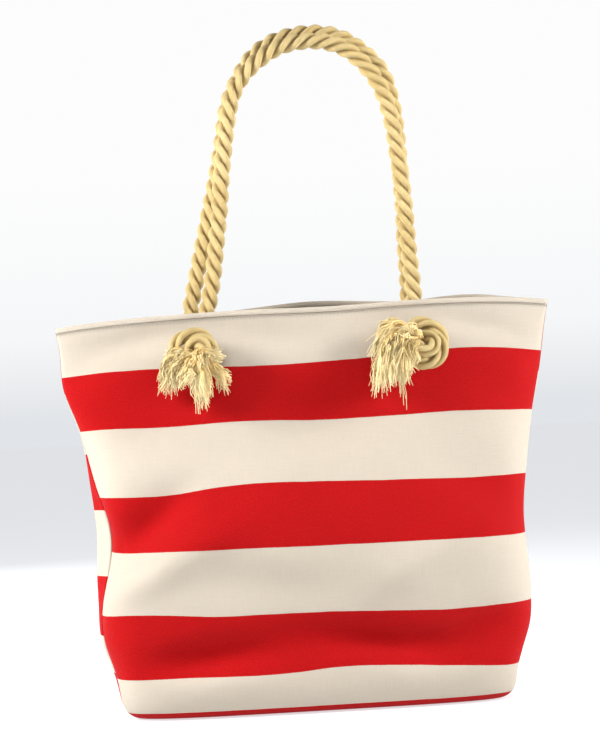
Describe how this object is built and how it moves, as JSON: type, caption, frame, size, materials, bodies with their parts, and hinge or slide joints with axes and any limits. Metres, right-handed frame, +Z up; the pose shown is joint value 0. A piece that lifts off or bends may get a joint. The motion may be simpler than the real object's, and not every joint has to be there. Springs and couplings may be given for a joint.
{
  "type": "beach tote bag",
  "caption": "Open-topped canvas tote with broad stripes and thick rope handles that pass through eyelets and end in frayed knots.",
  "frame": {"origin": "middle of the base, on the ground", "axes": "+Z up through the mouth, -Y out of the front panel, +X to the right as seen from the front"},
  "size_m": [0.432, 0.138, 0.5911],
  "materials": {
    "striped_canvas": "matt woven cotton canvas, scarlet stripes on cream",
    "cream_canvas": "matt woven cotton canvas",
    "lining_cotton": "matt plain-weave cotton",
    "rope_cotton": "three-strand laid cotton, soft sheen",
    "frayed_cotton": "loose cotton fibres",
    "eyelet_metal": "nickel plated",
    "snap_metal": "nickel plated"
  },
  "bodies": {
    "bag": {"front_panel": "striped_canvas", "back_panel": "striped_canvas", "front_lining": "lining_cotton", "back_lining": "lining_cotton", "front_facing": "cream_canvas", "back_facing": "cream_canvas", "front_rim_roll": "cream_canvas", "back_rim_roll": "cream_canvas", "eyelet_front_left": "eyelet_metal", "eyelet_front_right": "eyelet_metal", "eyelet_back_left": "eyelet_metal", "eyelet_back_right": "eyelet_metal", "washer_front_left": "eyelet_metal", "washer_front_right": "eyelet_metal", "washer_back_left": "eyelet_metal", "washer_back_right": "eyelet_metal", "rope_leg_front_left": "rope_cotton", "rope_leg_front_right": "rope_cotton", "rope_leg_back_left": "rope_cotton", "rope_leg_back_right": "rope_cotton", "knot_front_left": "rope_cotton", "knot_front_right": "rope_cotton", "knot_back_left": "rope_cotton", "knot_back_right": "rope_cotton", "snap_socket": "snap_metal", "snap_stud": "snap_metal", "slip_pocket": "lining_cotton"},
    "front_handle": {"front_handle_loop": "rope_cotton"},
    "back_handle": {"back_handle_loop": "rope_cotton"},
    "front_left_tassel": {"tassel_front_left": "frayed_cotton"},
    "front_right_tassel": {"tassel_front_right": "frayed_cotton"},
    "back_left_tassel": {"tassel_back_left": "frayed_cotton"},
    "back_right_tassel": {"tassel_back_right": "frayed_cotton"}
  },
  "joints": [
    {"name": "front_handle_swing", "type": "hinge", "parent": "bag", "child": "front_handle", "pos_m": [0, -0.0225, 0.345], "axis": [1, 0, 0], "range_deg": [0, 115]},
    {"name": "back_handle_swing", "type": "hinge", "parent": "bag", "child": "back_handle", "pos_m": [0, 0.0225, 0.345], "axis": [-1, 0, 0], "range_deg": [0, 115]},
    {"name": "front_left_tassel_swing", "type": "hinge", "parent": "bag", "child": "front_left_tassel", "pos_m": [-0.096, -0.0481, 0.2855], "axis": [-1, 0, 0], "range_deg": [0, 60]},
    {"name": "front_right_tassel_swing", "type": "hinge", "parent": "bag", "child": "front_right_tassel", "pos_m": [0.0643, -0.0436, 0.3243], "axis": [-1, 0, 0], "range_deg": [0, 60]},
    {"name": "back_left_tassel_swing", "type": "hinge", "parent": "bag", "child": "back_left_tassel", "pos_m": [-0.0643, 0.0436, 0.3243], "axis": [1, 0, 0], "range_deg": [0, 60]},
    {"name": "back_right_tassel_swing", "type": "hinge", "parent": "bag", "child": "back_right_tassel", "pos_m": [0.096, 0.0481, 0.2855], "axis": [1, 0, 0], "range_deg": [0, 60]}
  ]
}
